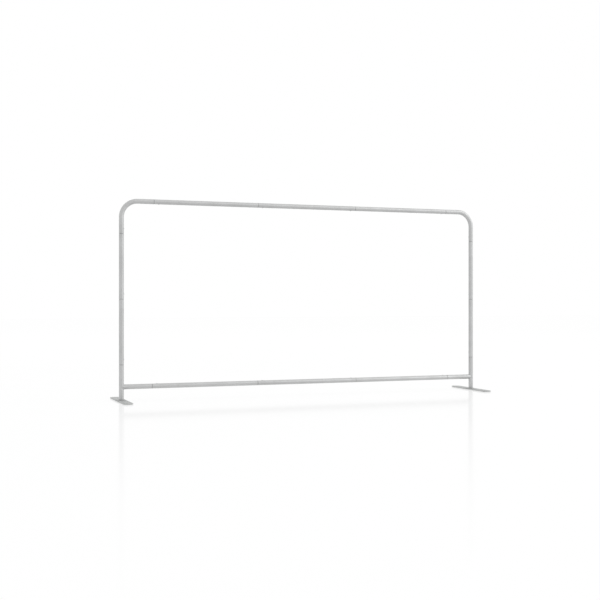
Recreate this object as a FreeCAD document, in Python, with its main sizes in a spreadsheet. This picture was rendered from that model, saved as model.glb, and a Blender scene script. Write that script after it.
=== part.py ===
import FreeCAD, Part
import math
import os
import Sketcher

# Free-standing tubular frame of an advertising display wall.
# X runs along the wall, Y through it, Z up; the origin is on the floor under the middle.

Vector = FreeCAD.Vector
doc = FreeCAD.newDocument("display_wall_frame")
sheet = doc.addObject("Spreadsheet::Sheet", "Sizes")

# Driving sizes in millimetres
sizes = {
    "frame_width": 2480,
    "frame_height": 1248,
    "tube_diameter": 30,
    "tube_wall": 1.5,
    "tube_end_chamfer": 0.5,
    "seam_gap": 1.8,
    "corner_leg": 202,
    "corner_bend_radius": 100,
    "tee_reach": 190,
    "bottom_rail_height": 89,
    "lower_seam_height": 225,
    "spigot_clearance": 0.1,
    "spigot_wall": 2,
    "spigot_hold": 45,
    "spigot_reach": 60,
    "spigot_lead_in": 1.5,
    "button_offset": 32,
    "button_diameter": 8,
    "button_proud": 2.4,
    "button_dome_rise": 1.6,
    "button_clearance": 0.1,
    "button_hole_clearance": 0.3,
    "button_flange_diameter": 10.4,
    "button_flange_thickness": 1.2,
    "spring_thickness": 0.6,
    "spring_width": 7,
    "spring_length": 30,
    "spring_overhang": 5,
    "spring_bend_width": 4,
    "spring_clearance": 0.05,
    "rivet_offset": 24,
    "rivet_diameter": 4,
    "rivet_clearance": 0.05,
    "rivet_head_diameter": 7.6,
    "rivet_head_height": 1.1,
    "rivet_head_edge": 0.3,
    "rivet_tail_diameter": 5.4,
    "rivet_tail_length": 2.6,
    "plate_length": 470,
    "plate_width": 60,
    "plate_thickness": 6,
    "plate_corner_radius": 27,
    "plate_edge_radius": 0.8,
    "pad_diameter": 18,
    "pad_thickness": 1.5,
    "pad_edge_chamfer": 0.4,
    "pad_side_inset": 16,
    "pad_end_inset": 30,
    "foot_spigot_height": 68,
    "foot_spigot_lead_in": 2,
    "screw_diameter": 8,
    "screw_length": 22,
    "screw_head_diameter": 15,
    "screw_head_rim": 0.4,
    "screw_clearance": 0.2,
    "screw_hole_depth": 26,
    "screw_socket_width": 5,
    "screw_socket_depth": 2.6,
    "cut_overrun": 1,
}
for row, (alias, value) in enumerate(sizes.items(), start=1):
    sheet.set(f"A{row}", alias)
    sheet.set(f"B{row}", str(value))
    sheet.setAlias(f"B{row}", alias)
doc.recompute()

# Formulas that several pieces share: three tubes to a rail, two to an upright
tube_radius = "(Sizes.tube_diameter / 2)"
tube_bore = f"({tube_radius} - Sizes.tube_wall)"
half_gap = "(Sizes.seam_gap / 2)"
upright_x = f"(Sizes.frame_width / 2 - {tube_radius})"
top_axis = f"(Sizes.frame_height - {tube_radius})"
plate_top = "(Sizes.pad_thickness + Sizes.plate_thickness)"
top_tube = f"(2 * ({upright_x} - Sizes.corner_leg) / 3)"
bottom_tube = f"(2 * ({upright_x} - Sizes.tee_reach) / 3)"
upright_tube = f"(({top_axis} - Sizes.corner_leg - Sizes.lower_seam_height) / 2)"
spigot_radius = f"({tube_bore} - Sizes.spigot_clearance)"
spigot_bore = f"({spigot_radius} - Sizes.spigot_wall)"
button_radius = "(Sizes.button_diameter / 2)"
button_hole = f"({button_radius} + Sizes.button_hole_clearance)"
flange_radius = "(Sizes.button_flange_diameter / 2)"
flange_top = f"(sqrt({spigot_bore}^2 - {flange_radius}^2) - Sizes.button_clearance)"
flange_bottom = f"({flange_top} - Sizes.button_flange_thickness)"
rivet_radius = "(Sizes.rivet_diameter / 2)"
rivet_hole = f"({rivet_radius} + Sizes.rivet_clearance)"
screw_radius = "(Sizes.screw_diameter / 2)"
screw_head_radius = "(Sizes.screw_head_diameter / 2)"

right = Vector(1, 0, 0)
left = Vector(-1, 0, 0)
up = Vector(0, 0, 1)
down = Vector(0, 0, -1)
behind = Vector(0, 1, 0)


def number(formula):
    return float(sheet.evalExpression(formula))


def new_body(label):
    body = doc.addObject("PartDesign::Body", label)
    body.Label = label
    return body


def new_sketch(body, name, plane):
    sketch = body.newObject("Sketcher::SketchObject", name)
    support = next(f for f in body.Origin.OriginFeatures if f.Role == plane)
    sketch.AttachmentSupport = (support, [""])
    sketch.MapMode = "FlatFace"
    return sketch


def bind(sketch, constraint, formula):
    index = sketch.addConstraint(constraint)
    sketch.setExpression(f"Constraints[{index}]", formula)


# An arc from start to end; turn is 1 where it curves to the left and -1 to the right
def arc_between(start, end, radius, turn):
    chord = end - start
    half = chord.Length / 2
    side = Vector(-chord.y, chord.x, 0).normalize() * turn
    centre = (start + end) / 2 + side * math.sqrt(radius ** 2 - half ** 2)
    ends = [point - centre for point in ((start, end) if turn > 0 else (end, start))]
    angles = [math.atan2(point.y, point.x) for point in ends]
    return Part.ArcOfCircle(Part.Circle(centre, up, radius), *angles)


# A line through points given as formulas; arcs holds {index of the run: (radius, turn)}
def draw(sketch, points, arcs=None, closed=True):
    arcs = arcs or {}
    places = [Vector(number(x), number(y), 0) for x, y in points]
    runs = len(points) if closed else len(points) - 1
    ends = []
    for run in range(runs):
        start = places[run]
        end = places[(run + 1) % len(points)]
        if run in arcs:
            radius, turn = arcs[run]
            edge = sketch.addGeometry(arc_between(start, end, number(radius), turn))
            bind(sketch, Sketcher.Constraint("Radius", edge, number(radius)), radius)
            ends.append((edge, 1, 2) if turn > 0 else (edge, 2, 1))
        else:
            edge = sketch.addGeometry(Part.LineSegment(start, end))
            ends.append((edge, 1, 2))
    for run in range(runs if closed else runs - 1):
        edge, _, last = ends[run]
        following, first, _ = ends[(run + 1) % runs]
        sketch.addConstraint(Sketcher.Constraint("Coincident", edge, last, following, first))
    for index, (x, y) in enumerate(points):
        edge, first, last = ends[min(index, runs - 1)]
        vertex = first if index < runs else last
        place = places[index]
        bind(sketch, Sketcher.Constraint("DistanceX", edge, vertex, place.x), x)
        bind(sketch, Sketcher.Constraint("DistanceY", edge, vertex, place.y), y)
    return sketch


def draw_circles(sketch, circles):
    for x, y, radius in circles:
        place = Vector(number(x), number(y), 0)
        edge = sketch.addGeometry(Part.Circle(place, up, number(radius)))
        bind(sketch, Sketcher.Constraint("Radius", edge, number(radius)), radius)
        bind(sketch, Sketcher.Constraint("DistanceX", edge, 3, place.x), x)
        bind(sketch, Sketcher.Constraint("DistanceY", edge, 3, place.y), y)
    return sketch


# A section in (radius, height) turned about the body's own Z axis
def turned(body, name, points, arcs=None, kind="Revolution"):
    sketch = draw(new_sketch(body, name + "_section", "XZ_Plane"), points, arcs)
    feature = body.newObject("PartDesign::" + kind, name)
    feature.Profile = sketch
    feature.ReferenceAxis = (sketch, ["V_Axis"])
    return feature


def padded(body, name, sketch, length, symmetric=False):
    pad = body.newObject("PartDesign::Pad", name)
    pad.Profile = sketch
    pad.SideType = "Symmetric" if symmetric else "One side"
    pad.setExpression("Length", length)
    return pad


# A straight cut from a sketch; against is True where it runs against the sketch's normal
def pocketed(body, name, sketch, length, against=True, symmetric=False):
    pocket = body.newObject("PartDesign::Pocket", name)
    pocket.Profile = sketch
    pocket.SideType = "Symmetric" if symmetric else "One side"
    pocket.Reversed = not against
    pocket.setExpression("Length", length)
    return pocket


# Round holes through the wall on the button's side, the body's +X side
def button_holes(body, name, heights, radius, reach):
    sketch = new_sketch(body, name + "_circles", "YZ_Plane")
    draw_circles(sketch, [("0", height, radius) for height in heights])
    return pocketed(body, name, sketch, f"{reach} + Sizes.cut_overrun", against=False)


# Whether a body placed this way has its own +Y side at the back of the frame
def faces_back(along, toward):
    return along.cross(toward).dot(behind) > 0


# Round holes through the wall at the back of the frame; spots holds (x, height)
def rivet_holes(body, name, spots, reach, to_plus_y):
    sketch = new_sketch(body, name + "_circles", "XZ_Plane")
    draw_circles(sketch, [(x, height, rivet_hole) for x, height in spots])
    return pocketed(body, name, sketch, f"{reach} + Sizes.cut_overrun", against=to_plus_y)


# Puts a body's Z axis along one direction and its X axis toward another
def place(body, base, along=up, toward=right):
    body.Placement.Rotation = FreeCAD.Rotation(toward, along.cross(toward), along, "ZXY")
    for axis, formula in zip("xyz", base):
        body.setExpression("Placement.Base." + axis, formula)
    return body


def grouped(label, bodies):
    group = doc.addObject("Part::Compound", label)
    group.Label = label
    group.Links = bodies
    return group


# The section of a tube wall from height start to height end, with its outer edges broken
def tube_wall(start, end):
    chamfer = "Sizes.tube_end_chamfer"
    return [
        (tube_bore, start),
        (f"{tube_radius} - {chamfer}", start),
        (tube_radius, f"{start} + {chamfer}"),
        (tube_radius, f"{end} - {chamfer}"),
        (f"{tube_radius} - {chamfer}", end),
        (tube_bore, end),
    ]


nodes = []

# Straight tube with a button hole at its start, and at its end either another or a rivet hole
def straight_tube(label, pitch, base, along, inward, end_holds_spigot=True):
    body = new_body(label)
    turned(body, label + "_wall", tube_wall(half_gap, f"{pitch} - {half_gap}"))
    heights = ["Sizes.button_offset"]
    if not end_holds_spigot:
        heights.append(f"{pitch} - Sizes.button_offset")
    button_holes(body, label + "_button_holes", heights, button_hole, tube_radius)
    if end_holds_spigot:
        spots = [("0", f"{pitch} - Sizes.rivet_offset")]
        rivet_holes(body, label + "_rivet_hole", spots, tube_radius, faces_back(along, inward))
    nodes.append(body)
    return place(body, base, along, inward)


rails = (
    ("top_rail", top_axis, top_tube, "Sizes.corner_leg", down),
    ("bottom_rail", "Sizes.bottom_rail_height", bottom_tube, "Sizes.tee_reach", up),
)
for rail, height, pitch, leg, inward in rails:
    first = f"({upright_x} - {leg})"
    straight_tube(rail + "_left", pitch, (f"-{first}", "0", height), right, inward)
    middle = (f"-{first} + {pitch}", "0", height)
    straight_tube(rail + "_middle", pitch, middle, right, inward, end_holds_spigot=False)
    straight_tube(rail + "_right", pitch, (first, "0", height), left, inward)

sides = (("left", f"-{upright_x}", right), ("right", upright_x, left))
for side, x, inward in sides:
    for level, step in (("lower", 0), ("upper", 1)):
        base = (x, "0", f"Sizes.lower_seam_height + {step} * {upright_tube}")
        straight_tube(f"{side}_{level}_upright", upright_tube, base, up, inward)


# Names of the circular edges of a shape that lie round one of the given centres
def rings(shape, centres, radius):
    found = []
    for index, edge in enumerate(shape.Edges, start=1):
        curve = edge.Curve
        if not isinstance(curve, Part.Circle) or abs(curve.Radius - radius) > Part.Precision.confusion():
            continue
        if any(curve.Center.isEqual(centre, Part.Precision.confusion()) for centre in centres):
            found.append(f"Edge{index}")
    return found


# Bent corner tubes: Z up and X inward, from where the two straight axes would cross
def corner(label, to_plus_y):
    body = new_body(label)
    leg_end = f"(Sizes.corner_leg - {half_gap})"
    bend = "Sizes.corner_bend_radius"
    spine = new_sketch(body, label + "_path", "XZ_Plane")
    path = [("0", f"-{leg_end}"), ("0", f"-{bend}"), (bend, "0"), (leg_end, "0")]
    draw(spine, path, {1: (bend, -1)}, closed=False)
    section = new_sketch(body, label + "_ring", "XY_Plane")
    section.setExpression("AttachmentOffset.Base.z", f"-{leg_end}")
    draw_circles(section, [("0", "0", tube_radius), ("0", "0", tube_bore)])
    pipe = body.newObject("PartDesign::AdditivePipe", label + "_tube")
    pipe.Profile = section
    pipe.Spine = (spine, [])
    doc.recompute()
    end = number(leg_end)
    edges = rings(pipe.Shape, (Vector(0, 0, -end), Vector(end, 0, 0)), number(tube_radius))
    chamfer = body.newObject("PartDesign::Chamfer", label + "_ends")
    chamfer.Base = (pipe, edges)
    chamfer.setExpression("Size", "Sizes.tube_end_chamfer")
    button_height = "Sizes.button_offset - Sizes.corner_leg"
    button_holes(body, label + "_button_hole", [button_height], button_hole, tube_radius)
    spots = [("Sizes.corner_leg - Sizes.rivet_offset", "0")]
    rivet_holes(body, label + "_rivet_hole", spots, tube_radius, to_plus_y)
    nodes.append(body)
    return body


# A construction line along the sketch at one height, to turn a section about
def sketch_axis(sketch, height, length):
    place_y = number(height)
    line = Part.LineSegment(Vector(0, place_y, 0), Vector(number(length), place_y, 0))
    edge = sketch.addGeometry(line, True)
    sketch.addConstraint(Sketcher.Constraint("Horizontal", edge))
    bind(sketch, Sketcher.Constraint("DistanceX", edge, 1, 0), "0")
    bind(sketch, Sketcher.Constraint("DistanceY", edge, 1, place_y), height)
    bind(sketch, Sketcher.Constraint("DistanceX", edge, 2, number(length)), length)
    return "Axis0"


# Base tees: the post stands on the foot plate and the stub is coped and welded to its side
def base_tee(label, to_plus_y):
    body = new_body(label)
    post_end = f"(Sizes.lower_seam_height - {half_gap})"
    stub_end = f"(Sizes.tee_reach - {half_gap})"
    chamfer = "Sizes.tube_end_chamfer"
    rail_height = "Sizes.bottom_rail_height"
    stub_section = new_sketch(body, label + "_stub_section", "XZ_Plane")
    stub_wall = [
        ("0", f"{rail_height} + {tube_bore}"),
        (stub_end, f"{rail_height} + {tube_bore}"),
        (stub_end, f"{rail_height} + {tube_radius} - {chamfer}"),
        (f"{stub_end} - {chamfer}", f"{rail_height} + {tube_radius}"),
        ("0", f"{rail_height} + {tube_radius}"),
    ]
    draw(stub_section, stub_wall)
    axis = sketch_axis(stub_section, rail_height, stub_end)
    stub = body.newObject("PartDesign::Revolution", label + "_stub")
    stub.Profile = stub_section
    stub.ReferenceAxis = (stub_section, [axis])
    post = [
        ("0", plate_top),
        (tube_radius, plate_top),
        (tube_radius, f"{post_end} - {chamfer}"),
        (f"{tube_radius} - {chamfer}", post_end),
        ("0", post_end),
    ]
    turned(body, label + "_post", post)
    bore = new_sketch(body, label + "_bore_circle", "XY_Plane")
    draw_circles(bore, [("0", "0", tube_bore)])
    pocketed(body, label + "_bore", bore, f"{post_end} + Sizes.cut_overrun", against=False)
    spots = [
        ("0", "Sizes.lower_seam_height - Sizes.rivet_offset"),
        ("Sizes.tee_reach - Sizes.rivet_offset", rail_height),
    ]
    rivet_holes(body, label + "_rivet_holes", spots, tube_radius, to_plus_y)
    nodes.append(body)
    return body


for side, x, inward in sides:
    to_plus_y = faces_back(up, inward)
    place(corner(f"top_{side}_corner", to_plus_y), (x, "0", top_axis), up, inward)
    place(base_tee(f"{side}_base_tee", to_plus_y), (x, "0", "0"), up, inward)


# Pieces of a tube joint: Z from the tube that holds the spigot to the other tube, X toward the button
def spigot(label, to_plus_y):
    body = new_body(label)
    lead_in = "Sizes.spigot_lead_in"
    wall = [
        (spigot_bore, "-Sizes.spigot_hold"),
        (spigot_radius, "-Sizes.spigot_hold"),
        (spigot_radius, f"Sizes.spigot_reach - {lead_in}"),
        (f"{spigot_radius} - {lead_in}", "Sizes.spigot_reach"),
        (spigot_bore, "Sizes.spigot_reach"),
    ]
    turned(body, label + "_wall", wall)
    hole = f"({button_radius} + Sizes.button_clearance)"
    button_holes(body, label + "_button_hole", ["Sizes.button_offset"], hole, spigot_radius)
    rivet_holes(body, label + "_rivet_hole", [("0", "-Sizes.rivet_offset")], spigot_radius, to_plus_y)
    return body


# Snap button, turned about its own Z axis, with heights counted from the tube's axis
def button(label):
    body = new_body(label)
    crown = f"({tube_radius} + Sizes.button_proud)"
    rise = "Sizes.button_dome_rise"
    section = [
        ("0", flange_bottom),
        (flange_radius, flange_bottom),
        (flange_radius, flange_top),
        (button_radius, flange_top),
        (button_radius, f"{crown} - {rise}"),
        ("0", crown),
    ]
    dome = f"(({button_radius}^2 + {rise}^2) / (2 * {rise}))"
    turned(body, label + "_shape", section, {4: (dome, 1)})
    nodes.append(body)
    return body


# Folded leaf spring that carries the button and bears on the far side of the spigot's bore
def leaf_spring(label):
    body = new_body(label)
    leaf = "Sizes.spring_thickness"
    seat = f"({flange_bottom} - Sizes.spring_clearance)"
    far = f"(sqrt({spigot_bore}^2 - (Sizes.spring_width / 2)^2) - Sizes.spring_clearance)"
    tip = "(Sizes.button_offset + Sizes.spring_overhang)"
    flat = "(Sizes.button_offset - Sizes.spring_overhang)"
    back = "(Sizes.button_offset - Sizes.spring_length)"
    half_bend = "(Sizes.spring_bend_width / 2)"
    strip = [
        (seat, tip),
        (f"{seat} - {leaf}", tip),
        (f"{seat} - {leaf}", flat),
        (f"{half_bend} - {leaf}", f"{back} + {leaf}"),
        (f"{leaf} - {half_bend}", f"{back} + {leaf}"),
        (f"{leaf} - {far}", tip),
        (f"-{far}", tip),
        (f"-{half_bend}", back),
        (half_bend, back),
        (seat, flat),
    ]
    sketch = draw(new_sketch(body, label + "_edge", "XZ_Plane"), strip)
    padded(body, label + "_leaf", sketch, "Sizes.spring_width", symmetric=True)
    nodes.append(body)
    return body


# Blind rivet, turned about its own Z axis, its head shaped to the tube
def rivet(label):
    body = new_body(label)
    head_radius = "(Sizes.rivet_head_diameter / 2)"
    rise = "(Sizes.rivet_head_height - Sizes.rivet_head_edge)"
    skirt = f"(sqrt({tube_radius}^2 - {head_radius}^2))"
    crown = f"({tube_radius} + Sizes.rivet_head_height)"
    head = [
        ("0", skirt),
        (head_radius, skirt),
        (head_radius, f"{crown} - {rise}"),
        ("0", crown),
    ]
    dome = f"(({head_radius}^2 + {rise}^2) / (2 * {rise}))"
    turned(body, label + "_head", head, {2: (dome, 1)})
    seat = new_sketch(body, label + "_seat_circle", "YZ_Plane")
    draw_circles(seat, [("0", "0", tube_radius)])
    pocketed(body, label + "_seat", seat, "2 * Sizes.rivet_head_diameter", symmetric=True)
    tail_radius = "(Sizes.rivet_tail_diameter / 2)"
    tail_top = f"(sqrt({spigot_bore}^2 - {tail_radius}^2) - Sizes.rivet_clearance)"
    tail_bottom = f"({tail_top} - Sizes.rivet_tail_length)"
    shank = [
        ("0", tail_bottom),
        (tail_radius, tail_bottom),
        (tail_radius, tail_top),
        (rivet_radius, tail_top),
        (rivet_radius, f"{tube_radius} + Sizes.rivet_head_edge"),
        ("0", f"{tube_radius} + Sizes.rivet_head_edge"),
    ]
    turned(body, label + "_shank", shank)
    return body


# Every tube joint: its seam, the way its spigot points and the way its button faces
tube_joints = []
for rail, height, pitch, leg, inward in rails:
    first = f"({upright_x} - {leg})"
    outer = "corner" if rail == "top_rail" else "tee"
    level = rail.split("_")[0]
    tube_joints += [
        (rail, f"{level}_left_{outer}", (f"-{first}", "0", height), right, inward),
        (rail, f"{level}_rail_left", (f"-{first} + {pitch}", "0", height), right, inward),
        (rail, f"{level}_rail_right", (f"{first} - {pitch}", "0", height), left, inward),
        (rail, f"{level}_right_{outer}", (first, "0", height), left, inward),
    ]
for side, x, inward in sides:
    for step, level in enumerate(("low", "mid", "high")):
        seam = (x, "0", f"Sizes.lower_seam_height + {step} * {upright_tube}")
        tube_joints.append((f"{side}_upright", f"{side}_upright_{level}", seam, up, inward))

spigots = {}
rivets = []


# A seat on a tube joint, moved from its seam along the tubes
def shifted(seam, along, offset):
    parts = zip(seam, (along.x, along.y, along.z))
    return [f"{formula} + {share:g} * {offset}" for formula, share in parts]


for row, name, seam, along, inward in tube_joints:
    sleeve = spigot(name + "_spigot", faces_back(along, inward))
    spigots.setdefault(row, []).append(place(sleeve, seam, along, inward))
    place(button(name + "_button"), shifted(seam, along, "Sizes.button_offset"), inward, along)
    place(leaf_spring(name + "_spring"), seam, along, inward)
    fixing = rivet(name + "_rivet")
    rivets.append(place(fixing, shifted(seam, along, "-Sizes.rivet_offset"), behind, along))
for row, sleeves in spigots.items():
    nodes.append(grouped(row + "_spigots", sleeves))
nodes.append(grouped("spigot_rivets", rivets))


# Flat foot plate across the wall, its underside resting on pads
def foot_plate(label):
    body = new_body(label)
    across = "(Sizes.plate_width / 2)"
    along = "(Sizes.plate_length / 2)"
    corner_radius = "Sizes.plate_corner_radius"
    rim = []
    arcs = {}
    for sign_x, sign_y in ((1, 1), (-1, 1), (-1, -1), (1, -1)):
        side_point = (f"{sign_x} * {across}", f"{sign_y} * ({along} - {corner_radius})")
        end_point = (f"{sign_x} * ({across} - {corner_radius})", f"{sign_y} * {along}")
        arcs[len(rim)] = (corner_radius, 1)
        rim += [side_point, end_point] if sign_x * sign_y > 0 else [end_point, side_point]
    outline = new_sketch(body, label + "_rim", "XY_Plane")
    outline.setExpression("AttachmentOffset.Base.z", "Sizes.pad_thickness")
    draw(outline, rim, arcs)
    slab = padded(body, label + "_slab", outline, "Sizes.plate_thickness")
    doc.recompute()
    level = [edge.BoundBox.ZLength < Part.Precision.confusion() for edge in slab.Shape.Edges]
    edges = [f"Edge{index}" for index, is_level in enumerate(level, start=1) if is_level]
    rounding = body.newObject("PartDesign::Fillet", label + "_edges")
    rounding.Base = (slab, edges)
    rounding.setExpression("Radius", "Sizes.plate_edge_radius")
    gap = "Sizes.screw_clearance"
    cone = f"({screw_head_radius} - {screw_radius})"
    rim_top = "(Sizes.pad_thickness + Sizes.screw_head_rim)"
    hole = [
        ("0", "0"),
        (f"{screw_head_radius} + {gap}", "0"),
        (f"{screw_head_radius} + {gap}", rim_top),
        (f"{screw_radius} + {gap}", f"{rim_top} + {cone}"),
        (f"{screw_radius} + {gap}", f"{plate_top} + Sizes.cut_overrun"),
        ("0", f"{plate_top} + Sizes.cut_overrun"),
    ]
    turned(body, label + "_screw_hole", hole, kind="Groove")
    nodes.append(body)
    return body


# Round spigot that stands on the plate inside the post, tapped for the screw
def foot_spigot(label):
    body = new_body(label)
    top = f"({plate_top} + Sizes.foot_spigot_height)"
    lead_in = "Sizes.foot_spigot_lead_in"
    depth = f"({plate_top} + Sizes.screw_hole_depth)"
    section = [
        (screw_radius, plate_top),
        (spigot_radius, plate_top),
        (spigot_radius, f"{top} - {lead_in}"),
        (f"{spigot_radius} - {lead_in}", top),
        ("0", top),
        ("0", depth),
        (screw_radius, depth),
    ]
    turned(body, label + "_bar", section)
    nodes.append(body)
    return body


# Countersunk screw, from under the plate into the spigot
def foot_screw(label):
    body = new_body(label)
    cone = f"({screw_head_radius} - {screw_radius})"
    bottom = "Sizes.pad_thickness"
    rim_top = f"({bottom} + Sizes.screw_head_rim)"
    tip = f"({bottom} + Sizes.screw_length)"
    section = [
        ("0", bottom),
        (screw_head_radius, bottom),
        (screw_head_radius, rim_top),
        (screw_radius, f"{rim_top} + {cone}"),
        (screw_radius, tip),
        ("0", tip),
    ]
    turned(body, label + "_shape", section)
    reach = "(Sizes.screw_socket_width / sqrt(3))"
    hexagon = [(f"{reach} * cos({turn})", f"{reach} * sin({turn})") for turn in range(0, 360, 60)]
    socket = draw(new_sketch(body, label + "_hexagon", "XY_Plane"), hexagon)
    pocketed(body, label + "_socket", socket, f"{bottom} + Sizes.screw_socket_depth", against=False)
    nodes.append(body)
    return body


def foot_pad(label):
    body = new_body(label)
    radius = "(Sizes.pad_diameter / 2)"
    chamfer = "Sizes.pad_edge_chamfer"
    section = [
        ("0", "0"),
        (f"{radius} - {chamfer}", "0"),
        (radius, chamfer),
        (radius, "Sizes.pad_thickness"),
        ("0", "Sizes.pad_thickness"),
    ]
    turned(body, label + "_disc", section)
    return body


for side, x, inward in sides:
    place(foot_plate(f"{side}_foot_plate"), (x, "0", "0"))
    place(foot_spigot(f"{side}_foot_spigot"), (x, "0", "0"))
    place(foot_screw(f"{side}_foot_screw"), (x, "0", "0"))
    pads = []
    for sign_x, sign_y in ((-1, -1), (1, -1), (-1, 1), (1, 1)):
        pad = foot_pad(f"{side}_foot_pad_{len(pads) + 1}")
        pad_x = f"{x} + {sign_x} * (Sizes.plate_width / 2 - Sizes.pad_side_inset)"
        pad_y = f"{sign_y} * (Sizes.plate_length / 2 - Sizes.pad_end_inset)"
        pads.append(place(pad, (pad_x, pad_y, "0")))
    nodes.append(grouped(f"{side}_foot_pads", pads))

doc.recompute()

# Nothing is written unless every feature worked and every cut removed material
for item in doc.Objects:
    if "Invalid" in item.State or "Error" in item.State:
        raise RuntimeError(f"{item.Label} failed: {item.State}")
    if item.TypeId in ("PartDesign::Pocket", "PartDesign::Groove"):
        if item.Shape.Volume >= item.BaseFeature.Shape.Volume:
            raise RuntimeError(f"{item.Label} cuts nothing")
for node in nodes:
    if node.Shape.isNull() or not node.Shape.isValid():
        raise RuntimeError(f"{node.Label} has no valid shape")

os.makedirs("parts", exist_ok=True)
for node in nodes:
    node.Shape.exportStep(f"parts/{node.Label}.step")
print(f"wrote {len(nodes)} nodes")
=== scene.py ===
import math

import bmesh
import bpy
from mathutils import Matrix, Vector


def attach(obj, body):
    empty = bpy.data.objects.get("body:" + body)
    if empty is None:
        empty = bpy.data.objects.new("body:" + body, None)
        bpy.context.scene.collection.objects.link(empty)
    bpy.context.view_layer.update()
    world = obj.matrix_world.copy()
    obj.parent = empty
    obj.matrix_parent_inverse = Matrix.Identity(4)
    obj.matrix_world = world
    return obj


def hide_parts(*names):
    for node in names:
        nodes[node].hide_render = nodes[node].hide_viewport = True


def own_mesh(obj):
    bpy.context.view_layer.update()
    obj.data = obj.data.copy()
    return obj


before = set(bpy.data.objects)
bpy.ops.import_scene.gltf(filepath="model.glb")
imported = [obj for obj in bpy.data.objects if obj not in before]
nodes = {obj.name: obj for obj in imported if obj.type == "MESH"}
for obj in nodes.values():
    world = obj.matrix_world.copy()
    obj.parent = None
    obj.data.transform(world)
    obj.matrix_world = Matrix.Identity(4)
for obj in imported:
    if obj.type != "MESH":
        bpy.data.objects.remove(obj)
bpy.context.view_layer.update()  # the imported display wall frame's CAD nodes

scene = bpy.context.scene
scene.view_settings.view_transform = "Standard"
mm = 0.001
print("frame loaded:", len(nodes), "CAD nodes")

# the frame's lines that several pieces share, in metres
layout = {
    "tubeRadius": 15 * mm,
    "uprightX": 1225 * mm,
    "topRailZ": 1233 * mm,
    "bottomRailZ": 89 * mm,
    "bendRadius": 100 * mm,
    "topSeamX": (1023 * mm, 341 * mm),
    "bottomSeamX": (1035 * mm, 345 * mm),
    "uprightSeamZ": (225 * mm, 628 * mm, 1031 * mm),
}


def tubeJoints():
    # name, seam, the way along the tubes to the button, the way the button faces
    right, left = Vector((1, 0, 0)), Vector((-1, 0, 0))
    up, down = Vector((0, 0, 1)), Vector((0, 0, -1))
    joints = []
    for level, outer, height, seams, facing in (
        ("top", "corner", layout["topRailZ"], layout["topSeamX"], down),
        ("bottom", "tee", layout["bottomRailZ"], layout["bottomSeamX"], up),
    ):
        for side, sign, along in (("left", -1, right), ("right", 1, left)):
            names = (f"{level}_{side}_{outer}", f"{level}_rail_{side}")
            for name, x in zip(names, seams):
                joints.append((name, Vector((sign * x, 0, height)), along, facing))
    for side, sign, facing in (("left", -1, right), ("right", 1, left)):
        for level, z in zip(("low", "mid", "high"), layout["uprightSeamZ"]):
            seam = Vector((sign * layout["uprightX"], 0, z))
            joints.append((f"{side}_upright_{level}", seam, up, facing))
    return joints


def jointMatrix(seam, along, facing):
    # local X faces out of the loop's inner side, local Z runs along the tubes
    across = along.cross(facing)
    turn = Matrix((facing, across, along)).transposed().to_4x4()
    return Matrix.Translation(seam) @ turn


# node helpers
def addNode(tree, kind, inputs=None, **settings):
    node = tree.nodes.new(kind)
    for name, value in settings.items():
        setattr(node, name, value)
    for key, value in (inputs or {}).items():
        if isinstance(value, bpy.types.NodeSocket):
            tree.links.new(value, node.inputs[key])
        else:
            node.inputs[key].default_value = value
    return node


def calc(tree, operation, first, second=0.0, third=0.0):
    values = {0: first, 1: second, 2: third}
    return addNode(tree, "ShaderNodeMath", values, operation=operation).outputs[0]


def spread(tree, value, low, high):
    values = {"Value": value, "From Min": low, "From Max": high}
    return addNode(tree, "ShaderNodeMapRange", values, interpolation_type="SMOOTHSTEP").outputs[0]


def noise(tree, vector, scale, detail=2.0, roughness=0.5):
    values = {"Vector": vector, "Scale": scale, "Detail": detail, "Roughness": roughness}
    return addNode(tree, "ShaderNodeTexNoise", values).outputs["Fac"]


def blend(tree, share, first, second):
    values = {0: share, 6: first, 7: second}  # the mix node's factor and its two colours
    return addNode(tree, "ShaderNodeMix", values, data_type="RGBA").outputs[2]


def newGroup(name, inputs, outputs):
    group = bpy.data.node_groups.new(name, "ShaderNodeTree")
    for label, value in inputs.items():
        socket = group.interface.new_socket(label, in_out="INPUT", socket_type="NodeSocketFloat")
        socket.default_value = value
    for label in outputs:
        group.interface.new_socket(label, in_out="OUTPUT", socket_type="NodeSocketFloat")
    return group, addNode(group, "NodeGroupInput").outputs, addNode(group, "NodeGroupOutput").inputs


def useGroup(tree, group, values):
    return addNode(tree, "ShaderNodeGroup", values, node_tree=group).outputs


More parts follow.
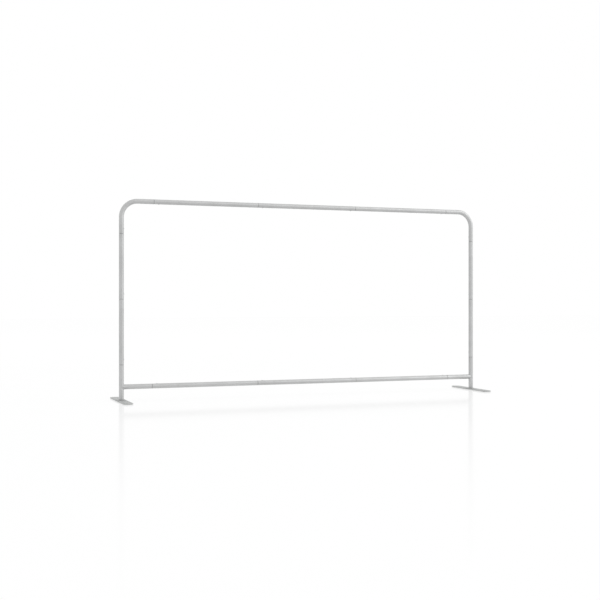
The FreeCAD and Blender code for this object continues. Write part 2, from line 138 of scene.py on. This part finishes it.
# fine lines left by drawing the tube, which follow it round the bends
def drawnLinesGroup():
    scales = {"Across": 2200.0, "Along": 9.0}
    group, given, result = newGroup("drawnLines", scales, ["Lines", "Streaks"])
    place = addNode(group, "ShaderNodeTexCoord").outputs["Object"]
    x, y, z = addNode(group, "ShaderNodeSeparateXYZ", {0: place}).outputs
    outward = calc(group, "ABSOLUTE", x)
    bendX = layout["uprightX"] - layout["bendRadius"]
    bendZ = layout["topRailZ"] - layout["bendRadius"]
    reachX = calc(group, "MAXIMUM", calc(group, "SUBTRACT", outward, bendX), 0.0)
    reachZ = calc(group, "MAXIMUM", calc(group, "SUBTRACT", z, bendZ), 0.0)
    squares = calc(group, "ADD", calc(group, "POWER", reachX, 2.0), calc(group, "POWER", reachZ, 2.0))
    fromBend = calc(group, "SQRT", squares)
    # the bottom rail lies low and between the uprights
    railTop = layout["bottomRailZ"] + layout["tubeRadius"] * 1.1
    railEnd = layout["uprightX"] - layout["tubeRadius"] * 0.98
    low = calc(group, "LESS_THAN", z, railTop)
    between = calc(group, "LESS_THAN", outward, railEnd)
    onRail = calc(group, "MULTIPLY", low, between)
    railPart = calc(group, "MULTIPLY", z, onRail)
    loopPart = calc(group, "MULTIPLY", fromBend, calc(group, "SUBTRACT", 1.0, onRail))
    across = calc(group, "ADD", railPart, loopPart)
    along = calc(group, "ADD", x, z)
    spots = [
        calc(group, "MULTIPLY", across, given["Across"]),
        calc(group, "MULTIPLY", y, given["Across"]),
        calc(group, "MULTIPLY", along, given["Along"]),
    ]
    vector = addNode(group, "ShaderNodeCombineXYZ", dict(enumerate(spots))).outputs[0]
    group.links.new(noise(group, vector, scale=1.0, detail=3.0, roughness=0.6), result["Lines"])
    streaks = noise(group, vector, scale=0.14, detail=2.0, roughness=0.55)
    group.links.new(spread(group, streaks, low=0.38, high=0.66), result["Streaks"])
    return group


# hand marks and fine specks
def handMarksGroup():
    scales = {"Scale": 14.0, "Speck Scale": 900.0}
    group, given, result = newGroup("handMarks", scales, ["Marks", "Specks"])
    place = addNode(group, "ShaderNodeTexCoord").outputs["Object"]
    marks = noise(group, place, given["Scale"], detail=5.0, roughness=0.62)
    group.links.new(spread(group, marks, low=0.36, high=0.68), result["Marks"])
    specks = noise(group, place, given["Speck Scale"], detail=2.0, roughness=0.5)
    group.links.new(spread(group, specks, low=0.62, high=0.74), result["Specks"])
    return group


# thin scratches in two directions, sparse
def scratchesGroup():
    group, given, result = newGroup("scratches", {"Scale": 60.0, "Sparse": 0.7}, ["Scratches"])
    place = addNode(group, "ShaderNodeTexCoord").outputs["Object"]
    found = []
    for turn, stretch in (((0.3, 0.5, 0.2), (1.0, 24.0, 24.0)), ((-0.6, 0.2, 0.9), (20.0, 20.0, 1.0))):
        values = {"Vector": place, "Rotation": turn, "Scale": stretch}
        mapped = addNode(group, "ShaderNodeMapping", values)
        value = noise(group, mapped.outputs[0], given["Scale"], detail=1.0, roughness=0.4)
        found.append(calc(group, "GREATER_THAN", value, given["Sparse"]))
    group.links.new(calc(group, "MAXIMUM", found[0], found[1]), result["Scratches"])
    return group


# edges rubbed bright, found by comparing the face with a rounded version of it
def rubbedEdgesGroup():
    group, given, result = newGroup("rubbedEdges", {"Radius": 0.6 * mm, "Scale": 500.0}, ["Rubbed"])
    place = addNode(group, "ShaderNodeTexCoord").outputs["Object"]
    rounded = addNode(group, "ShaderNodeBevel", {"Radius": given["Radius"]}, samples=6).outputs[0]
    facing = addNode(group, "ShaderNodeNewGeometry").outputs["Normal"]
    likeness = addNode(group, "ShaderNodeVectorMath", {0: rounded, 1: facing}, operation="DOT_PRODUCT")
    turned = calc(group, "SUBTRACT", 1.0, likeness.outputs["Value"])
    edge = spread(group, turned, low=0.01, high=0.12)
    breaks = noise(group, place, given["Scale"], detail=4.0, roughness=0.6)
    broken = spread(group, breaks, low=0.34, high=0.62)
    group.links.new(calc(group, "MULTIPLY", edge, broken), result["Rubbed"])
    return group


drawnLines = drawnLinesGroup()
handMarks = handMarksGroup()
scratches = scratchesGroup()
rubbedEdges = rubbedEdgesGroup()


def newMaterial(name, metallic):
    material = bpy.data.materials.new(name)
    material.use_nodes = True
    tree = material.node_tree
    shader = tree.nodes["Principled BSDF"]
    shader.inputs["Metallic"].default_value = metallic
    return material, tree, shader


def wornShare(tree, look):
    edges = useGroup(tree, rubbedEdges, {"Radius": look["edgeRadius"], "Scale": look["edgeScale"]})
    scuffs = useGroup(tree, scratches, {"Scale": look["scuffScale"], "Sparse": look["scuffSparse"]})
    rubbed = calc(tree, "MULTIPLY", edges["Rubbed"], look["edgeShare"])
    scuffed = calc(tree, "MULTIPLY", scuffs["Scratches"], look["scuffShare"])
    return calc(tree, "MAXIMUM", rubbed, scuffed)


def setBump(tree, shader, height, look):
    values = {"Height": height, "Strength": look["bump"], "Distance": look["bumpDistance"]}
    tree.links.new(addNode(tree, "ShaderNodeBump", values).outputs[0], shader.inputs["Normal"])


# satin anodised tube
satinTube = {
    "metallic": 0.9,
    "clean": (0.552, 0.556, 0.556, 1),
    "marked": (0.522, 0.526, 0.524, 1),
    "streak": (0.575, 0.578, 0.578, 1),
    "rubbed": (0.70, 0.70, 0.70, 1),
    # painted contact shade, darker towards the foot of the posts
    "contactShade": (0.40, 0.402, 0.40, 1),
    "contactShadeFrom": 7.5 * mm,
    "contactShadeTo": 18 * mm,
    "streakShare": 0.3,
    "handScale": 9.0,
    "roughness": 0.44,
    "marksRoughness": 0.07,
    "linesRoughness": 0.10,
    "rubbedPolish": 0.16,
    "edgeRadius": 0.7 * mm,
    "edgeScale": 500.0,
    "edgeShare": 1.0,
    "scuffScale": 34.0,
    "scuffSparse": 0.73,
    "scuffShare": 0.2,
    "bump": 0.12,
    "bumpDistance": 0.02 * mm,
}


def satinTubeMaterial(look):
    material, tree, shader = newMaterial("satinTube", look["metallic"])
    lines = useGroup(tree, drawnLines, {})
    hand = useGroup(tree, handMarks, {"Scale": look["handScale"]})
    worn = wornShare(tree, look)
    colour = blend(tree, hand["Marks"], look["clean"], look["marked"])
    streakShare = calc(tree, "MULTIPLY", lines["Streaks"], look["streakShare"])
    colour = blend(tree, streakShare, colour, look["streak"])
    colour = blend(tree, worn, colour, look["rubbed"])
    # painted contact shade: the posts alone reach down to the plates, and their lower ends are painted
    # darker towards them
    place = addNode(tree, "ShaderNodeTexCoord").outputs["Object"]
    height = addNode(tree, "ShaderNodeSeparateXYZ", {0: place}).outputs["Z"]
    clear = spread(tree, height, look["contactShadeFrom"], look["contactShadeTo"])
    tree.links.new(blend(tree, clear, look["contactShade"], colour), shader.inputs["Base Color"])
    rough = calc(tree, "MULTIPLY_ADD", hand["Marks"], look["marksRoughness"], look["roughness"])
    rough = calc(tree, "MULTIPLY_ADD", lines["Lines"], look["linesRoughness"], rough)
    rough = calc(tree, "SUBTRACT", rough, calc(tree, "MULTIPLY", worn, look["rubbedPolish"]))
    tree.links.new(rough, shader.inputs["Roughness"])
    setBump(tree, shader, lines["Lines"], look)
    return material


# metals of the small pieces: dark spigots, rivets, plated buttons and screws, blued springs
smallMetals = {
    "spigotMetal": {
        "metallic": 0.9, "clean": (0.20, 0.20, 0.205, 1), "marked": (0.14, 0.14, 0.14, 1),
        "rubbed": (0.40, 0.40, 0.40, 1), "roughness": 0.5, "grain": 30.0,
    },
    "rivetMetal": {
        "metallic": 1.0, "clean": (0.50, 0.50, 0.50, 1), "marked": (0.40, 0.40, 0.40, 1),
        "rubbed": (0.68, 0.68, 0.68, 1), "roughness": 0.38, "grain": 160.0,
    },
    "buttonMetal": {
        "metallic": 1.0, "clean": (0.52, 0.53, 0.54, 1), "marked": (0.44, 0.44, 0.43, 1),
        "rubbed": (0.66, 0.66, 0.66, 1), "roughness": 0.30, "grain": 220.0,
    },
    "screwMetal": {
        "metallic": 1.0, "clean": (0.48, 0.485, 0.48, 1), "marked": (0.38, 0.38, 0.35, 1),
        "rubbed": (0.62, 0.62, 0.62, 1), "roughness": 0.34, "grain": 180.0,
    },
    "springMetal": {
        "metallic": 1.0, "clean": (0.16, 0.17, 0.20, 1), "marked": (0.20, 0.17, 0.13, 1),
        "rubbed": (0.42, 0.42, 0.42, 1), "roughness": 0.36, "grain": 120.0,
    },
}
smallMetalWear = {
    "marksRoughness": 0.12,
    "rubbedPolish": 0.1,
    "edgeRadius": 0.3 * mm,
    "edgeScale": 1500.0,
    "edgeShare": 1.0,
    "scuffSparse": 0.69,
    "scuffShare": 0.4,
    "bump": 0.08,
    "bumpDistance": 0.02 * mm,
}


def smallMetalMaterial(name, metal):
    look = {**smallMetalWear, **metal, "scuffScale": metal["grain"] * 2}
    material, tree, shader = newMaterial(name, look["metallic"])
    hand = useGroup(tree, handMarks, {"Scale": look["grain"]})
    worn = wornShare(tree, look)
    colour = blend(tree, hand["Marks"], look["clean"], look["marked"])
    tree.links.new(blend(tree, worn, colour, look["rubbed"]), shader.inputs["Base Color"])
    rough = calc(tree, "MULTIPLY_ADD", hand["Marks"], look["marksRoughness"], look["roughness"])
    rough = calc(tree, "SUBTRACT", rough, calc(tree, "MULTIPLY", worn, look["rubbedPolish"]))
    tree.links.new(rough, shader.inputs["Roughness"])
    setBump(tree, shader, hand["Specks"], look)
    return material


# silver powder coat of the foot plates
powderCoat = {
    "metallic": 0.35,
    "clean": (0.440, 0.450, 0.443, 1),
    "marked": (0.415, 0.425, 0.418, 1),
    "flake": (0.52, 0.525, 0.52, 1),
    "rubbed": (0.60, 0.60, 0.59, 1),
    # painted contact shade on the plates round the posts
    "contactShade": (0.33, 0.335, 0.33, 1),
    "contactShadeFrom": 14 * mm,
    "contactShadeTo": 70 * mm,
    "shadePatchScale": 70.0,
    "handScale": 16.0,
    "flakeScale": 2600.0,
    "flakeShare": 0.6,
    "peelScale": 620.0,
    "roughness": 0.46,
    "marksRoughness": 0.1,
    "peelRoughness": 0.06,
    "edgeRadius": 0.9 * mm,
    "edgeScale": 260.0,
    "edgeShare": 0.4,
    "scuffScale": 46.0,
    "scuffSparse": 0.7,
    "scuffShare": 0.3,
    "bump": 0.25,
    "bumpDistance": 0.06 * mm,
}


def powderCoatMaterial(look):
    material, tree, shader = newMaterial("powderCoat", look["metallic"])
    place = addNode(tree, "ShaderNodeTexCoord").outputs["Object"]
    hand = useGroup(tree, handMarks, {"Scale": look["handScale"], "Speck Scale": look["flakeScale"]})
    worn = wornShare(tree, look)
    peel = noise(tree, place, look["peelScale"])
    colour = blend(tree, hand["Marks"], look["clean"], look["marked"])
    flakes = calc(tree, "MULTIPLY", hand["Specks"], look["flakeShare"])
    colour = blend(tree, flakes, colour, look["flake"])
    colour = blend(tree, worn, colour, look["rubbed"])
    # painted contact shade round the post on the plate, darkest at the post, broken into patches
    x, y, z = addNode(tree, "ShaderNodeSeparateXYZ", {0: place}).outputs
    fromPost = calc(tree, "SUBTRACT", calc(tree, "ABSOLUTE", x), layout["uprightX"])
    squares = calc(tree, "ADD", calc(tree, "POWER", fromPost, 2.0), calc(tree, "POWER", y, 2.0))
    clear = spread(tree, calc(tree, "SQRT", squares), look["contactShadeFrom"], look["contactShadeTo"])
    patches = noise(tree, place, look["shadePatchScale"], detail=4.0, roughness=0.6)
    patches = spread(tree, patches, low=0.22, high=0.56)
    contactShaded = calc(tree, "MULTIPLY", calc(tree, "SUBTRACT", 1.0, clear), patches)
    tree.links.new(blend(tree, contactShaded, colour, look["contactShade"]), shader.inputs["Base Color"])
    rough = calc(tree, "MULTIPLY_ADD", hand["Marks"], look["marksRoughness"], look["roughness"])
    rough = calc(tree, "MULTIPLY_ADD", peel, look["peelRoughness"], rough)
    tree.links.new(rough, shader.inputs["Roughness"])
    setBump(tree, shader, peel, look)
    return material


# grey rubber of the pads under the plates
padRubber = {
    "clean": (0.22, 0.22, 0.215, 1),
    "dusty": (0.33, 0.325, 0.315, 1),
    "handScale": 120.0,
    "dustScale": 1800.0,
    "marksDust": 0.5,
    "specksDust": 0.4,
    "roughness": 0.72,
    "marksRoughness": 0.15,
    "bump": 0.2,
    "bumpDistance": 0.05 * mm,
}


def padRubberMaterial(look):
    material, tree, shader = newMaterial("padRubber", 0.0)
    hand = useGroup(tree, handMarks, {"Scale": look["handScale"], "Speck Scale": look["dustScale"]})
    dust = calc(tree, "MULTIPLY", hand["Marks"], look["marksDust"])
    dust = calc(tree, "MULTIPLY_ADD", hand["Specks"], look["specksDust"], dust)
    tree.links.new(blend(tree, dust, look["clean"], look["dusty"]), shader.inputs["Base Color"])
    rough = calc(tree, "MULTIPLY_ADD", hand["Marks"], look["marksRoughness"], look["roughness"])
    tree.links.new(rough, shader.inputs["Roughness"])
    setBump(tree, shader, hand["Specks"], look)
    return material


tubeFinish = satinTubeMaterial(satinTube)
plateFinish = powderCoatMaterial(powderCoat)
rubberFinish = padRubberMaterial(padRubber)
metalFinish = {name: smallMetalMaterial(name, metal) for name, metal in smallMetals.items()}
print("materials made:", len(bpy.data.materials))


def finishFor(node):
    for ending, finish in (
        ("_button", metalFinish["buttonMetal"]),
        ("_spring", metalFinish["springMetal"]),
        ("_spigots", metalFinish["spigotMetal"]),
        ("_foot_spigot", metalFinish["spigotMetal"]),
        ("_rivets", metalFinish["rivetMetal"]),
        ("_screw", metalFinish["screwMetal"]),
        ("_plate", plateFinish),
        ("_pads", rubberFinish),
    ):
        if node.endswith(ending):
            return finish
    return tubeFinish


for name, node in nodes.items():
    node.data.materials.clear()
    node.data.materials.append(finishFor(name))
print("finishes given to the CAD nodes")

sharpAngle = math.radians(38)  # edges turned by more than this stay crisp
mergeDistance = 0.001 * mm


def addPiece(name, mesh, body, finish, replaced=()):
    data = bpy.data.meshes.new(name)
    mesh.to_mesh(data)
    mesh.free()
    data.materials.append(finish)
    data.shade_smooth()
    data.set_sharp_from_angle(angle=sharpAngle)
    piece = bpy.data.objects.new(name, data)
    scene.collection.objects.link(piece)
    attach(piece, body)
    if replaced:
        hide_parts(*replaced)
    return piece


def spunMesh(profile, steps):
    # a profile of radius and height in mm, turned about Z
    mesh = bmesh.new()
    points = [mesh.verts.new((radius * mm, 0, height * mm)) for radius, height in profile]
    line = [mesh.edges.new(pair) for pair in zip(points, points[1:])]
    bmesh.ops.spin(mesh, geom=points + line, axis=(0, 0, 1), cent=(0, 0, 0),
                   angle=math.tau, steps=steps, use_merge=True)
    bmesh.ops.remove_doubles(mesh, verts=mesh.verts, dist=mergeDistance)
    bmesh.ops.recalc_face_normals(mesh, faces=mesh.faces)
    return mesh


def copiesAt(mesh, places):
    single = bpy.data.meshes.new("single")
    mesh.to_mesh(single)
    mesh.free()
    copies = bmesh.new()
    for place in places:
        moved = single.copy()
        moved.transform(place)
        copies.from_mesh(moved)
        bpy.data.meshes.remove(moved)
    bpy.data.meshes.remove(single)
    return copies


# folded leaf springs behind the snap buttons, in mm from the seam: across the tube and along it
leafSpring = {
    "line": ((8.795, 37.0), (8.795, 27.0), (2.0, 2.0), (-2.0, 2.0), (-10.8, 37.0)),
    "thickness": 0.6,
    "width": 7.0,
    "bend": 1.6,
    "bendSteps": 5,
    "farSide": 10.8,
    "pressedShare": 0.78,
}


def leafSpringMesh(look):
    mesh = bmesh.new()
    half = look["width"] / 2
    points = [mesh.verts.new((across * mm, -half * mm, along * mm)) for across, along in look["line"]]
    for pair in zip(points, points[1:]):
        mesh.edges.new(pair)
    bmesh.ops.bevel(mesh, geom=points[1:-1], affect="VERTICES", offset=look["bend"] * mm,
                    segments=look["bendSteps"], profile=0.5, material=-1)
    strip = bmesh.ops.extrude_edge_only(mesh, edges=mesh.edges[:])["geom"]
    side = [part for part in strip if isinstance(part, bmesh.types.BMVert)]
    bmesh.ops.translate(mesh, verts=side, vec=(0, look["width"] * mm, 0))
    # both legs face away from the fold, so the thickness goes into it
    tip = max(mesh.faces, key=lambda face: face.calc_center_median().x)
    bmesh.ops.recalc_face_normals(mesh, faces=mesh.faces)
    if tip.normal.x < 0:
        bmesh.ops.reverse_faces(mesh, faces=mesh.faces)
    bmesh.ops.solidify(mesh, geom=mesh.faces[:], thickness=look["thickness"] * mm)
    return mesh


def makeLeafSpring(name, seam, along, facing, look):
    mesh = leafSpringMesh(look)
    bmesh.ops.transform(mesh, matrix=jointMatrix(seam, along, facing), verts=mesh.verts)
    finish = metalFinish["springMetal"]
    piece = addPiece(f"{name}_leaf", mesh, "frame", finish, [f"{name}_spring"])
    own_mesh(piece)


for name, seam, along, facing in tubeJoints():
    makeLeafSpring(name, seam, along, facing, leafSpring)
print("leaf springs folded")

# blind rivets at the back of the tube joints, with the pits that their pulled pins leave
blindRivet = {
    "offset": 24 * mm,
    "profile": (
        (0.0, 15.55), (0.8, 15.55), (0.95, 15.95), (1.15, 16.1), (1.7, 16.06), (2.4, 15.93),
        (3.1, 15.68), (3.6, 15.38), (3.8, 15.1), (3.8, 14.45), (2.0, 14.45), (2.0, 11.03),
        (2.5, 11.03), (2.7, 10.8), (2.7, 8.7), (2.4, 8.43), (0.0, 8.43),
    ),
    "steps": 36,
}


def makeRivets(look):
    toBack = Matrix.Rotation(-math.pi / 2, 4, "X")  # the heads face away from the viewer
    spots = [seam - along * look["offset"] for name, seam, along, facing in tubeJoints()]
    places = [Matrix.Translation(spot) @ toBack for spot in spots]
    mesh = copiesAt(spunMesh(look["profile"], look["steps"]), places)
    finish = metalFinish["rivetMetal"]
    addPiece("blind_rivets", mesh, "frame", finish, ["spigot_rivets"])


makeRivets(blindRivet)
print("rivets set")

# weld beads where the stubs meet the posts of the base tees
weldBead = {
    "radius": 1.9 * mm,
    "thinShare": 0.4,
    "ripple": 0.2,
    "ripples": 34,
    "sections": 12,
    "steps": 204,
}


def weldBeadMesh(look):
    ring = layout["tubeRadius"]
    mesh = bmesh.new()
    bmesh.ops.create_circle(mesh, segments=look["sections"], radius=look["radius"])
    bmesh.ops.translate(mesh, verts=mesh.verts, vec=(0, ring, 0))
    bmesh.ops.spin(mesh, geom=mesh.verts[:] + mesh.edges[:], axis=(1, 0, 0), cent=(0, 0, 0),
                   angle=math.tau, steps=look["steps"], use_merge=True)
    bmesh.ops.remove_doubles(mesh, verts=mesh.verts, dist=mergeDistance)
    # the ring bends into the saddle between the tubes, thin where they lie flush
    for vert in mesh.verts:
        turn = math.atan2(vert.co.z, vert.co.y)
        core = Vector((0, ring * math.cos(turn), ring * math.sin(turn)))
        size = look["thinShare"] + (1 - look["thinShare"]) * abs(math.sin(turn))
        size *= 1 - look["ripple"] * (1 - abs(math.sin(look["ripples"] * turn / 2)))
        vert.co = core + (vert.co - core) * size
        vert.co.x += abs(core.z)
    bmesh.ops.recalc_face_normals(mesh, faces=mesh.faces)
    return mesh


for side, turn in (("left", 0.0), ("right", math.pi)):
    mesh = weldBeadMesh(weldBead)
    x = -layout["uprightX"] * math.cos(turn)
    place = Matrix.Translation((x, 0, layout["bottomRailZ"])) @ Matrix.Rotation(turn, 4, "Z")
    bmesh.ops.transform(mesh, matrix=place, verts=mesh.verts)
    addPiece(f"{side}_tee_weld", mesh, "frame", tubeFinish)
print("welds laid")

# grip pads under the plates, with moulded rings
gripPad = {
    "profile": (
        (0.0, 0.5), (2.2, 0.5), (2.5, 0.06), (2.7, 0.0), (4.1, 0.0), (4.3, 0.06), (4.5, 0.4),
        (5.3, 0.4), (5.5, 0.06), (5.7, 0.0), (8.4, 0.0), (8.8, 0.15), (9.0, 0.45), (9.0, 1.3),
        (8.9, 1.45), (8.75, 1.5), (0.0, 1.5),
    ),
    "steps": 48,
    "acrossPlate": 14 * mm,
    "alongPlate": 205 * mm,
}


def makePads(side, x, look):
    spots = [(x + i * look["acrossPlate"], j * look["alongPlate"], 0) for i in (-1, 1) for j in (-1, 1)]
    places = [Matrix.Translation(spot) for spot in spots]
    mesh = copiesAt(spunMesh(look["profile"], look["steps"]), places)
    replaced = [f"{side}_foot_pads"]
    addPiece(f"{side}_grip_pads", mesh, f"{side}_foot", rubberFinish, replaced)


makePads("left", -layout["uprightX"], gripPad)
makePads("right", layout["uprightX"], gripPad)
print("pads placed")

# stage: pale floor with a faint mirror image, white all round
stage = {
    "floorSize": 60.0,
    "floorDrop": 0.4 * mm,
    "mirrorRoughness": 0.1,
    "mirrorIor": 1.01,
    "mirrorShare": 4.3,
    "mirrorFade": 4.0,
    "shadowShare": 0.15,
    "shadowFrom": 2.0,
    "shadowTo": 9.0,
    "matt": (0.94, 0.94, 0.94, 1),
    "white": (1, 1, 1, 1),
    "worldLight": 0.95,
}


def shownShare(tree):
    seen = addNode(tree, "ShaderNodeLightPath").outputs
    shown = calc(tree, "MAXIMUM", seen["Is Camera Ray"], seen["Is Glossy Ray"])
    return calc(tree, "MAXIMUM", shown, seen["Is Transmission Ray"])


def paleFloorMaterial(look):
    material = bpy.data.materials.new("paleFloor")
    material.use_nodes = True
    tree = material.node_tree
    tree.nodes.clear()
    gloss = {"Color": look["white"], "Roughness": look["mirrorRoughness"]}
    matt = addNode(tree, "ShaderNodeBsdfDiffuse", {"Color": look["matt"]}).outputs[0]
    white = addNode(tree, "ShaderNodeEmission", {"Color": look["white"], "Strength": 1.0}).outputs[0]
    mirror = addNode(tree, "ShaderNodeBsdfGlossy", gloss).outputs[0]
    # the matt share shows the shadow, and ends some way from the frame
    place = addNode(tree, "ShaderNodeTexCoord").outputs["Object"]
    away = addNode(tree, "ShaderNodeVectorMath", {0: place}, operation="LENGTH").outputs["Value"]
    near = calc(tree, "SUBTRACT", 1.0, spread(tree, away, look["shadowFrom"], look["shadowTo"]))
    shadow = calc(tree, "MULTIPLY", near, look["shadowShare"])
    asSeen = addNode(tree, "ShaderNodeMixShader", {0: shadow, 1: white, 2: matt}).outputs[0]
    fresnel = addNode(tree, "ShaderNodeFresnel", {"IOR": look["mirrorIor"]}).outputs[0]
    # a weak polish: the mirror image fades towards the viewer, and again towards the far edge
    fading = calc(tree, "POWER", calc(tree, "SUBTRACT", 1.0, fresnel), look["mirrorFade"])
    share = calc(tree, "MULTIPLY", calc(tree, "MULTIPLY", fresnel, fading), look["mirrorShare"])
    withMirror = addNode(tree, "ShaderNodeMixShader", {0: share, 1: asSeen, 2: mirror}).outputs[0]
    layers = {0: shownShare(tree), 1: matt, 2: withMirror}
    final = addNode(tree, "ShaderNodeMixShader", layers).outputs[0]
    addNode(tree, "ShaderNodeOutputMaterial", {"Surface": final})
    return material


def makeFloor(look):
    mesh = bmesh.new()
    bmesh.ops.create_grid(mesh, x_segments=1, y_segments=1, size=look["floorSize"] / 2)
    bmesh.ops.translate(mesh, verts=mesh.verts, vec=(0, 0, -look["floorDrop"]))
    data = bpy.data.meshes.new("floor")
    mesh.to_mesh(data)
    mesh.free()
    data.materials.append(paleFloorMaterial(look))
    floor = bpy.data.objects.new("floor", data)
    scene.collection.objects.link(floor)


def makeWorld(look):
    world = bpy.data.worlds.new("studio")
    scene.world = world
    world.use_nodes = True
    tree = world.node_tree
    tree.nodes.clear()
    light = {"Strength": look["worldLight"], "Color": look["white"]}
    lit = addNode(tree, "ShaderNodeBackground", light)
    white = addNode(tree, "ShaderNodeBackground", {"Strength": 1.0, "Color": look["white"]})
    shares = {0: shownShare(tree), 1: lit.outputs[0], 2: white.outputs[0]}
    both = addNode(tree, "ShaderNodeMixShader", shares).outputs[0]
    addNode(tree, "ShaderNodeOutputWorld", {"Surface": both})


# one large soft lamp from the front right
keyLamp = {
    "at": (12.0, -7.0, 8.0),
    "toward": (0, 0, 0.6),
    "size": 12.0,
    "power": 650.0,
}


def makeLamp(look):
    data = bpy.data.lights.new("key", "AREA")
    data.energy = look["power"]
    data.size = look["size"]
    lamp = bpy.data.objects.new("key", data)
    scene.collection.objects.link(lamp)
    lamp.location = look["at"]
    aim = Vector(look["toward"]) - lamp.location
    lamp.rotation_euler = aim.to_track_quat("-Z", "Y").to_euler()


makeFloor(stage)
makeWorld(stage)
makeLamp(keyLamp)
print("stage lit")

# camera at the photograph's height and angle
view = {
    "lens": 62.174,
    "sensor": 36.0,
    "at": (-2.4652, -6.3392, 0.623),
    "turn": (90.0, 0.0, -20.849),
}


def makeCamera(look):
    data = bpy.data.cameras.new("camera")
    data.lens = look["lens"]
    data.sensor_width = look["sensor"]
    camera = bpy.data.objects.new("camera", data)
    scene.collection.objects.link(camera)
    camera.location = look["at"]
    camera.rotation_euler = [math.radians(angle) for angle in look["turn"]]
    scene.camera = camera


makeCamera(view)
